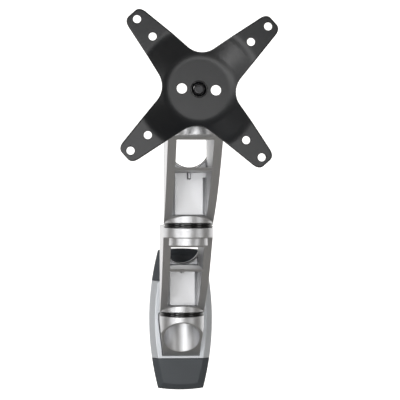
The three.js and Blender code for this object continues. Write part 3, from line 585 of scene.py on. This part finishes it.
# %% [markdown]
# ## The housing
#
# The wall plate is hidden by a moulded housing in three lengths: a silver middle and two slate end
# caps. One rounded outline gives them all. It is extruded to the start of the slanted border, and
# extruded again to the smaller front face. A second, smaller block of the same shape is cut out of
# it, and each length is kept by crossing the shell with a slab.

# %% The hollow housing
HOUSING_DEPTH, HOUSING_BORDER, HOUSING_WALL = 20, 6, 2
HOUSING_HALF, HOUSING_END_HALF, HOUSING_TALL, HOUSING_CROWN = 32.6, 23.4, 73, 1.8
SLAB_HALF = 60


def housing_outline(inset, steps=28):
    """A bowed side, a slightly crowned end and the other side, then the same turned half round."""
    wide, end, tall = HOUSING_HALF - inset, HOUSING_END_HALF - inset, HOUSING_TALL - inset
    shoulder = tall - HOUSING_CROWN
    handle = shoulder / 2
    points = bent((wide, 0), (wide, handle), (end, shoulder), steps)[:-1]
    points += bent((end, shoulder), (0, tall + HOUSING_CROWN), (-end, shoulder), steps)[:-1]
    points += bent((-end, shoulder), (-wide, handle), (-wide, 0), steps)[:-1]
    return points + [(-x, -z) for x, z in points]


def housing_block(inset, back=0.0):
    """The filled housing: straight sides, then a border that slants in to the front face."""
    bm = bmesh.new()
    front = inset - HOUSING_DEPTH
    face = bm.faces.new([bm.verts.new((x, back, z)) for x, z in housing_outline(inset)])
    for depth, outline in (
        (front + HOUSING_BORDER, housing_outline(inset)),
        (front, housing_outline(inset + HOUSING_BORDER)),
    ):
        grown = bmesh.ops.extrude_face_region(bm, geom=[face])["geom"]
        if depth == front:
            # The face where the two extrusions meet would stay inside the solid.
            bmesh.ops.delete(bm, geom=[face], context="FACES_ONLY")
        face = next(item for item in grown if isinstance(item, bmesh.types.BMFace))
        for loop, (x, z) in zip(face.loops, outline):
            loop.vert.co = (x, depth, z)
    bmesh.ops.recalc_face_normals(bm, faces=bm.faces)
    return bm


def housing_length(low, high):
    """The hollow housing between two heights."""
    shell = combined(housing_block(0), "DIFFERENCE", housing_block(HOUSING_WALL, CLEAR))
    return combined(shell, "INTERSECT", block((-SLAB_HALF, -SLAB_HALF, low), (SLAB_HALF, SLAB_HALF, high)))


# %% The cover and the end caps
COVER_HALF, SEAM = 40, 0.15
PAST_THE_END = 100
OPENING_HALF, OPENING_FOOT, OPENING_CORNER = 23.3, 19.1, 2
OPENING_ABOVE, OPENING_BELOW = 1.7, 0.3
TONGUE_HALF, TONGUE_BACK, TONGUE_FRONT, RIB_FRONT = 8, -4.3, -6.3, -19
TONGUE_START, RIB_END, TONGUE_END = 38, 39.5, 50
COVER_SCREW_HOLE, COVER_SCREW_AT = 1.8, 45


def cover_opening():
    """The outline of the opening for the base bracket: straight above, drawn in below."""
    wide, foot, corner = OPENING_HALF, OPENING_FOOT, OPENING_CORNER
    top, low = BASE_TOP + OPENING_ABOVE, BASE_LOW - OPENING_BELOW
    outline = [(wide, top - corner), (wide - corner, top), (corner - wide, top)]
    return outline + [(-wide, top - corner), (-wide, 0), (-foot, low), (foot, low), (wide, 0)]


def wall_cover():
    shell = housing_length(SEAM - COVER_HALF, COVER_HALF - SEAM)
    opened = combined(shell, "DIFFERENCE", prism("Y", cover_opening(), -2 * HOUSING_DEPTH, CLEAR))
    tongues, holes = [], []
    for up in (1, -1):
        for front, end in ((TONGUE_FRONT, TONGUE_END), (RIB_FRONT, RIB_END)):
            low, high = sorted((up * TONGUE_START, up * end))
            tongues.append(block((-TONGUE_HALF, front, low), (TONGUE_HALF, TONGUE_BACK, high)))
        screw_at = (0, up * COVER_SCREW_AT)
        holes.append(bar("Y", COVER_SCREW_HOLE, screw_at, -HOUSING_DEPTH, 0, TINY_ROUND))
    tongued = combined(combined(opened, "UNION", *tongues), "DIFFERENCE", *holes)
    finish_piece(tongued, "wall_cover", 0.45)


wall_cover()
finish_piece(housing_length(COVER_HALF + SEAM, PAST_THE_END), "top_end_cap", 0.6)
finish_piece(housing_length(-PAST_THE_END, -COVER_HALF - SEAM), "bottom_end_cap", 0.6)

# %% [markdown]
# ## Rings and trims
#
# These are turned parts, so each is a closed profile spun round its axis. The corners of a profile
# are rounded before it is spun. The black ring in a pivot has a groove round its middle, where it
# was snapped together.

# %% Turned pieces
LAY_FLAT = {axis: Matrix.Rotation(QUARTER, 4, turn) for axis, turn in (("Y", "X"), ("X", "Y"))}
LAY_FLAT["Z"] = Matrix()


def turned_piece(node, profile, axis="Z", round_mm=0.3, move=None):
    """A ring that starts at the low end of its node, or at the back of one that lies along Y."""
    ring = turned(rounded(profile, round_mm), closed=True)
    low, high = box_mm(node)
    centre = (low + high) / 2
    start = (centre.x, high.y, centre.z) if axis == "Y" else (centre.x, centre.y, low.z)
    finish_piece(turn_and_move(ring, LAY_FLAT[axis], move or start), node)


# %% Pivot rings and window trims
RING_BORE, RING_HEIGHT, GROOVE = 7.6, 3.7, 0.8
TRIM_INNER, TRIM_OUTER, TRIM_DEPTH = 17.4, 18.2, 3.5

groove_floor = HUB_RADIUS - GROOVE
groove_low, groove_high = RING_HEIGHT / 2 - GROOVE / 2, RING_HEIGHT / 2 + GROOVE / 2
grooved = [(RING_BORE, 0), (HUB_RADIUS, 0), (HUB_RADIUS, groove_low), (groove_floor, groove_low)]
grooved += [(groove_floor, groove_high), (HUB_RADIUS, groove_high)]
grooved += [(HUB_RADIUS, RING_HEIGHT), (RING_BORE, RING_HEIGHT)]
for pivot in ("base", "elbow", "head"):
    turned_piece(f"{pivot}_pivot_ring", grooved, round_mm=0.35)

trim = [(TRIM_INNER, 0), (TRIM_OUTER, 0), (TRIM_OUTER, TRIM_DEPTH), (TRIM_INNER, TRIM_DEPTH)]
for number in (1, 2):
    turned_piece(f"arm_{number}_window_trim", trim, "Y", 0.25)

# %% [markdown]
# ## Screws and bolts
#
# All of the screws are socket-headed. The head is turned with a rounded rim and a slightly domed
# top, and a six-sided socket is cut into it.

# %% Socket screws
def socket_screw(radius, length, head_radius, head_height, socket_share=0.8):
    """Stands on z = 0 with its shank hanging down."""
    tip, rim_low, rim_high = 0.3, head_height * 0.72, head_height * 0.93
    rim_radius, crown_radius = head_radius - 0.08 * head_radius, head_radius * 0.78
    profile = [(0, -length), (radius - tip, -length), (radius, tip - length), (radius, 0)]
    profile += [(head_radius, 0), (head_radius, rim_low), (rim_radius, rim_high)]
    profile += [(crown_radius, head_height), (0, head_height)]
    socket_low, above = head_height * 0.4, head_height * 2
    socket = bar("Z", radius * socket_share, (0, 0), socket_low, above, HEXAGON)
    return combined(turned(profile, SCREW_ROUND), "DIFFERENCE", socket)


# %% Friction screws
FRICTION_RADIUS, FRICTION_HEAD, FRICTION_TIP = 2.2, 1, 7.9
SMALL_SOCKET = 0.62

for number, ring, proud in ((1, "base_pivot_ring", 1.0), (2, "elbow_pivot_ring", -0.4)):
    ring_x, ring_y, _ = axis_of(ring)
    seat = HUB_RADIUS + proud - FRICTION_HEAD
    place = (ring_x + seat, ring_y, box_mm(f"arm_{number}")[0].z + FRICTION_HEIGHT)
    screw = socket_screw(
        FRICTION_RADIUS, seat - FRICTION_TIP, FRICTION_RADIUS, FRICTION_HEAD, SMALL_SOCKET
    )
    finish_piece(turn_and_move(screw, LAY_FLAT["X"], place), f"arm_{number}_friction_screw", 0.12, 2)

# %% [markdown]
# ## The head
#
# The swivel head turns on the top of the second arm. A tongue reaches forward from it between the
# two ears of the tilt block, and one cross bolt with a nut holds them together, with thin washers
# between. The round boss on the tilt block carries the display plate. The swivel head is small and
# mostly hidden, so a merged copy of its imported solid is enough, with its edges softened.

# %% Swivel head
HEAD_X, HEAD_Y, _ = axis_of("head_pivot_ring")
HEAD_LOW = box_mm("swivel_head")[0].z
COPY_WELD = 0.002
COPY_FLAT = math.radians(0.3)


def merged_copy(node):
    """A copy of a CAD node in millimetres, with its doubles merged and its flat faces joined up."""
    bm = bmesh.new()
    bm.from_mesh(frame["nodes"][node].data)
    bmesh.ops.scale(bm, vec=(1 / MM, 1 / MM, 1 / MM), verts=bm.verts)
    bmesh.ops.remove_doubles(bm, verts=bm.verts, dist=COPY_WELD)
    join_flat_faces(bm, COPY_FLAT)
    return bm


finish_piece(merged_copy("swivel_head"), "swivel_head", 0.2, 2)

# %% Tilt block
TILT_AT = (-21, 6.5)
EAR_RADIUS, EAR_INNER, EAR_OUTER = 6, 5.9, 8.8
EAR_LOW, EAR_TOP = 2, 12.5
TILT_HOLE, ROLL_HOLE = 2.8, 4.3
BOSS_BACK, BOSS_FRONT, BOSS_HEIGHT, BOSS_RADIUS = -27.3, -33.0, 13.7, 9


def tilt_block():
    web = block((-EAR_OUTER, BOSS_FRONT, EAR_LOW), (EAR_OUTER, BOSS_BACK, BOSS_HEIGHT))
    ears = []
    for low, high in ((EAR_INNER, EAR_OUTER), (-EAR_OUTER, -EAR_INNER)):
        ears.append(bar("X", EAR_RADIUS, TILT_AT, low, high))
        ears.append(block((low, BOSS_BACK, EAR_LOW), (high, TILT_AT[0], EAR_TOP)))
    boss_at = (0, BOSS_HEIGHT)
    boss = bar("Y", BOSS_RADIUS, boss_at, BOSS_FRONT, BOSS_BACK)
    outside = EAR_OUTER + CLEAR
    cuts = [bar("X", TILT_HOLE, TILT_AT, -outside, outside, SMALL_ROUND)]
    cuts.append(bar("Y", ROLL_HOLE, boss_at, BOSS_FRONT - CLEAR, BOSS_BACK + CLEAR, SMALL_ROUND))
    whole = combined(combined(boss, "UNION", web, *ears), "DIFFERENCE", *cuts)
    finish_piece(turn_and_move(whole, move=(HEAD_X, HEAD_Y, HEAD_LOW)), "tilt_block", 0.25)


tilt_block()

# %% Tilt bolt, tilt nut and head pivot bolt
WASHER = 0.3
TILT_BOLT, TILT_HEAD, TILT_HEAD_HEIGHT = 2.5, 4.1, 3.2
PIVOT_BOLT, PIVOT_HEAD, PIVOT_HEAD_HEIGHT = 5, 8.5, 5.5


def tilt_hardware():
    outside = EAR_OUTER + WASHER
    nut_end = outside + TILT_HEAD_HEIGHT
    place = (HEAD_X + outside, HEAD_Y + TILT_AT[0], HEAD_LOW + TILT_AT[1])
    bolt = socket_screw(TILT_BOLT, outside + nut_end, TILT_HEAD, TILT_HEAD_HEIGHT)
    finish_piece(turn_and_move(bolt, LAY_FLAT["X"], place), "tilt_bolt", 0.15, 2)
    nut = combined(
        bar("X", TILT_HEAD, TILT_AT, -nut_end, -outside, HEXAGON),
        "DIFFERENCE",
        bar("X", TILT_HOLE, TILT_AT, -2 * outside, 0, SMALL_ROUND),
    )
    finish_piece(turn_and_move(nut, move=(HEAD_X, HEAD_Y, HEAD_LOW)), "tilt_nut", 0.3, 2)


def head_pivot_bolt():
    seat = box_mm("head_pivot_washer")[1].z + WASHER
    length = seat - box_mm("head_pivot_bolt")[0].z
    bolt = socket_screw(PIVOT_BOLT, length, PIVOT_HEAD, PIVOT_HEAD_HEIGHT)
    finish_piece(turn_and_move(bolt, move=(HEAD_X, HEAD_Y, seat)), "head_pivot_bolt", 0.2, 2)


tilt_hardware()
head_pivot_bolt()

# %% [markdown]
# ## The outline of the display plate
#
# The X-shaped plate has four tapering legs with rounded tips, joined by arcs. An eighth of the
# outline, from the middle of a tip to the middle of the notch beside it, says all of it: it is
# mirrored for a leg and turned three times for the rest.

# %% Plate outline
LEG_LENGTH, TIP_ROUND, LEG_HALF_WIDTH = 76.6, 6.5, 8.8
TIP_HANDLE, TIP_STEPS, NOTCH_STEPS, OUTLINE_STEP = 0.75, 16, 24, 1.3
TAPER = math.radians(9)
WAIST_RADIUS = 28.5
LARGE_HOLE, SMALL_HOLE = 50, 37.5  # half of the 100 mm and of the 75 mm screw square
LARGE_HOLE_AT = LARGE_HOLE * math.sqrt(2)


def leg_half_width(along):
    return LEG_HALF_WIDTH + (LARGE_HOLE_AT - along) * math.tan(TAPER)


def eighth_of_outline():
    """From the middle of a leg's tip to the middle of the notch, drawn on a leg along +X."""
    shoulder, tip_half = LEG_LENGTH - TIP_ROUND, leg_half_width(LEG_LENGTH)
    tip_start = (LEG_LENGTH, tip_half - TIP_ROUND * TIP_HANDLE)
    tip_end = (shoulder, leg_half_width(shoulder))
    points = [(LEG_LENGTH, 0), *bent(tip_start, (LEG_LENGTH, tip_half), tip_end, TIP_STEPS)]
    normal = QUARTER / 2 - TAPER
    edge = (LEG_HALF_WIDTH + LARGE_HOLE_AT * math.tan(TAPER)) * math.cos(TAPER)
    notch = (WAIST_RADIUS * math.cos(normal) - edge) / (1 - math.cos(normal))
    away = WAIST_RADIUS + notch
    middle = Vector((away * math.cos(QUARTER / 2), away * math.sin(QUARTER / 2)))
    for i in range(NOTCH_STEPS + 1):
        turn = QUARTER / 2 + math.pi + normal * (1 - i / NOTCH_STEPS)
        points.append((middle.x + notch * math.cos(turn), middle.y + notch * math.sin(turn)))
    return points


def evenly(points, spacing):
    """The same line with points a little under the spacing apart."""
    line = [Vector(p) for p in points]
    steps = []
    for start, end in zip(line, line[1:]):
        count = max(1, math.ceil((end - start).length / spacing))
        steps += [start.lerp(end, i / count) for i in range(count)]
    return steps + [line[-1]]


def plate_outline():
    half = evenly(eighth_of_outline(), OUTLINE_STEP)
    mirrored = [Vector((p.x, -p.y)) for p in reversed(half)]
    leg = mirrored[:-1] + half[:-1]
    whole = []
    for quarter in range(4):
        turn = Matrix.Rotation(QUARTER / 2 + quarter * QUARTER, 2)
        whole += [turn @ p for p in leg]
    return whole


outline = plate_outline()
print("plate outline", len(outline), "points")

# %% [markdown]
# ## The display plate
#
# The plate is pressed from one steel sheet: a round flat middle, a sloping step, and flat pads that
# stand forward of it. A grid of faces is wrapped round the centre, so that one side of the grid
# follows the outline: first across the front, then over the rounded edge, then back across the
# rear. Every point takes its depth from the pressed shape, so the folds are as smooth as real ones.

# %% The pressed shape
SHEET = 2.5
DISH_RADIUS, PAD_RADIUS, PAD_STEP, FOLD = 26, 46.5, 8.7, 3.4
EDGE_ROUND, EDGE_STEPS, SPOKE_STEPS = 0.8, 4, 66


def pressed_depth(radius):
    """How far the rear of the sheet stands forward of the flat middle."""
    slope = PAD_STEP / (PAD_RADIUS - DISH_RADIUS)
    first, last = radius - (DISH_RADIUS - FOLD), PAD_RADIUS + FOLD - radius
    if first <= 0:
        return 0.0
    if last <= 0:
        return PAD_STEP
    if first < 2 * FOLD:
        return (first / (2 * FOLD)) ** 2 * FOLD * slope
    if last < 2 * FOLD:
        return PAD_STEP - FOLD * slope * (last / (2 * FOLD)) ** 2
    return (radius - DISH_RADIUS) * slope


def plate_rows():
    """Each row of the wrapped grid: its share of the spoke, its inset and its height in the sheet."""
    rows = [(i / SPOKE_STEPS, EDGE_ROUND, SHEET) for i in range(SPOKE_STEPS + 1)]
    arc = [QUARTER * i / EDGE_STEPS for i in range(1, EDGE_STEPS + 1)]
    for a in arc:
        rows.append((1, EDGE_ROUND * (1 - math.sin(a)), SHEET - EDGE_ROUND * (1 - math.cos(a))))
    for a in reversed(arc):
        rows.append((1, EDGE_ROUND * (1 - math.sin(a)), EDGE_ROUND * (1 - math.cos(a))))
    back = SPOKE_STEPS // 2
    rows += [(1 - i / back, EDGE_ROUND, 0) for i in range(back + 1)]
    return rows


def inward_normals(line):
    normals = []
    for before, after in zip(line[-1:] + line[:-1], line[1:] + line[:1]):
        along = (after - before).normalized()
        normals.append(Vector((-along.y, along.x)))
    return normals


def wrapped_sheet(line):
    """The grid laid over the front, the edge and the rear of the sheet, and closed up."""
    rows, normals, count = plate_rows(), inward_normals(line), len(line)
    last_row = len(rows) - 1
    bm = bmesh.new()
    bmesh.ops.create_grid(bm, x_segments=last_row, y_segments=count, size=0.5)
    for vert in bm.verts:
        share, inset, height = rows[round((vert.co.x + 0.5) * last_row)]
        spoke = round((vert.co.y + 0.5) * count) % count
        point = (line[spoke] + normals[spoke] * inset) * share
        vert.co = (point.x, -(pressed_depth(point.length) + height), point.y)
    bmesh.ops.remove_doubles(bm, verts=bm.verts, dist=WELD)
    bmesh.ops.recalc_face_normals(bm, faces=bm.faces)
    return bm


# %% The drilled plate
SCREW_HOLE, SIDE_HOLE, SIDE_HOLE_AT, CENTRE_HOLE = 3.1, 4, 13.1, 4.3
SCREW_HOLE_SIDES = 40
DRILL_FROM, DRILL_TO = -20, 5
PLATE_ROLL = Matrix.Rotation(math.radians(2.8), 4, "Y")
PLATE_AT = (HEAD_X, box_mm("display_plate")[1].y, HEAD_LOW + BOSS_HEIGHT)


def drill(radius, x, z, sides=SMALL_ROUND):
    return bar("Y", radius, (x, z), DRILL_FROM, DRILL_TO, sides)


def plate_holes():
    corners = [(sx, sz) for sx in (-1, 1) for sz in (-1, 1)]
    holes = []
    for half in (LARGE_HOLE, SMALL_HOLE):
        holes += [drill(SCREW_HOLE, sx * half, sz * half, SCREW_HOLE_SIDES) for sx, sz in corners]
    holes += [drill(SIDE_HOLE, sx * SIDE_HOLE_AT, 0) for sx in (-1, 1)]
    return [*holes, drill(CENTRE_HOLE, 0, 0)]


def side_by_side(solids):
    """Separate solids in one bmesh, so that they are cut out together."""
    together = bmesh.new()
    for bm in solids:
        mesh = bpy.data.meshes.new("lent")
        bm.to_mesh(mesh)
        bm.free()
        together.from_mesh(mesh)
        bpy.data.meshes.remove(mesh)
    return together


drills = lent_object(side_by_side(plate_holes()))
sheet = applied(lent_object(wrapped_sheet(outline)), "DIFFERENCE", [drills])
finish_piece(turn_and_move(sheet, PLATE_ROLL, PLATE_AT), "display_plate", 0.25, 2)

# %% [markdown]
# ## The centre of the plate
#
# One screw holds the plate to the tilt block, and the plate can be turned on it to level the
# display. Its head sits in a dished washer, a turned ring whose lip stands round the screw.

# %% Centre washer and screw
CENTRE_SCREW, CENTRE_HEAD, CENTRE_HEAD_HEIGHT = 4, 4.05, 2.4

dished = [(CENTRE_HOLE, 0), (6.6, 0), (6.6, 1.5), (6.2, 2), (5.7, 2), (5.2, 1.25), (CENTRE_HOLE, 1)]
washer_at = (PLATE_AT[0], box_mm("centre_washer")[1].y, PLATE_AT[2])
turned_piece("centre_washer", dished, "Y", 0.2, washer_at)

screw_low, screw_high = box_mm("centre_screw")
seat = screw_low.y + CENTRE_HEAD_HEIGHT
screw = socket_screw(CENTRE_SCREW, screw_high.y - seat, CENTRE_HEAD, CENTRE_HEAD_HEIGHT, SMALL_SOCKET)
screw_at = (PLATE_AT[0], seat, PLATE_AT[2])
finish_piece(turn_and_move(screw, LAY_FLAT["Y"], screw_at), "centre_screw", 0.12, 2)

# %% [markdown]
# ## The studio
#
# A pale floor curves up into a round wall, so there is no horizon. The paper glows behind the
# mount only, which gives a clean white ground from the front and leaves the silver walls
# something darker to reflect.

# %% Floor and wall
FLOOR_Z, STUDIO_RADIUS, COVE_RADIUS, WALL_TOP = -0.35, 3.4, 1.2, 3.2
COVE_STEPS, COVE_SIDES, COVE_WELD = 12, 64, 1e-5
PAPER, PAPER_ROUGHNESS = (0.45, 0.435, 0.41), 0.9
BRIGHT_FROM, BRIGHT_TO = 0.4, 1.6
FRONT_GLOW, BACK_GLOW = 0.0, 1.05


def studio_paper():
    """Pale paper that glows from BRIGHT_FROM to BRIGHT_TO metres behind the wall plate."""
    paper = Finish("studio_paper", Base_Color=(*PAPER, 1), Roughness=PAPER_ROUGHNESS)
    far = paper.node("ShaderNodeSeparateXYZ", inputs={0: paper.place}).outputs["Y"]
    behind = paper.node(
        "ShaderNodeMapRange",
        {"interpolation_type": "SMOOTHSTEP"},
        {"Value": far, "From Min": BRIGHT_FROM, "From Max": BRIGHT_TO},
    )
    glow = paper.between(behind.outputs[0], (FRONT_GLOW,) * 3, (BACK_GLOW,) * 3)
    paper.feed("Emission Color", glow)
    paper.shader.inputs["Emission Strength"].default_value = 1.0
    return paper.material


def stage_cove():
    bm = bmesh.new()
    flat = STUDIO_RADIUS - COVE_RADIUS
    profile = [Vector((0, 0, FLOOR_Z)), Vector((flat, 0, FLOOR_Z))]
    for i in range(1, COVE_STEPS + 1):
        turn = QUARTER * i / COVE_STEPS
        out, up = COVE_RADIUS * math.sin(turn), COVE_RADIUS * (1 - math.cos(turn))
        profile.append(Vector((flat + out, 0, FLOOR_Z + up)))
    profile.append(Vector((STUDIO_RADIUS, 0, WALL_TOP)))
    verts = [bm.verts.new(p) for p in profile]
    geom = verts + [bm.edges.new(pair) for pair in zip(verts, verts[1:])]
    bmesh.ops.spin(
        bm, geom=geom, cent=(0, 0, 0), axis=(0, 0, 1), angle=math.tau, steps=COVE_SIDES, use_merge=True
    )
    bmesh.ops.remove_doubles(bm, verts=bm.verts, dist=COVE_WELD)
    bmesh.ops.recalc_face_normals(bm, faces=bm.faces)
    mesh = bpy.data.meshes.new("studio_cove")
    bm.to_mesh(mesh)
    bm.free()
    mesh.shade_smooth()
    mesh.materials.append(studio_paper())
    cove = bpy.data.objects.new("studio_cove", mesh)
    bpy.context.scene.collection.objects.link(cove)
    print("cove", len(mesh.polygons), "faces")


stage_cove()

# %% [markdown]
# ## The lights
#
# Metal shows what it reflects, so the lights are broad, soft panels. A low wide one in front fills
# the hollows of the arms, small ones from the left draw the bright edges, and one from the right
# and one from above keep the shadows soft.

# %% Lights and air
AIM = (0, -0.2, 0.1)
ARM_HOLLOWS = (0.02, -0.38, 0.22)
AIR_GLOW = 0.08
LIGHTS = {  # place, aim, width and height in metres, watts
    "front": ((-0.5, -2.6, 0.08), AIM, (1.9, 0.8), 17),
    "low_left": ((-0.5, -1.05, -0.24), ARM_HOLLOWS, (0.26, 0.18), 1.6),
    "side_left": ((-1.9, -1.5, 0.2), AIM, (0.8, 0.9), 7),
    "key": ((-0.9, -1.3, 1.9), AIM, (0.5, 0.5), 7),
    "right": ((1.8, -1.7, 0.2), AIM, (0.8, 1.0), 5),
}


def soft_light(name, place, aim, size, watts):
    data = bpy.data.lights.new(name, "AREA")
    data.shape, data.energy = "RECTANGLE", watts
    data.size, data.size_y = size
    light = bpy.data.objects.new(name, data)
    light.location = place
    light.rotation_euler = (Vector(aim) - Vector(place)).to_track_quat("-Z", "Y").to_euler()
    bpy.context.scene.collection.objects.link(light)


for name, settings in LIGHTS.items():
    soft_light(name, *settings)

air = bpy.data.worlds.new("studio_air")
bpy.context.scene.world = air
air.use_nodes = True
background = air.node_tree.nodes["Background"]
background.inputs["Color"].default_value = (1, 1, 1, 1)
background.inputs["Strength"].default_value = AIR_GLOW
bpy.context.scene.view_settings.view_transform = "Standard"
print(len(LIGHTS), "lights,", sum(settings[3] for settings in LIGHTS.values()), "W in all")
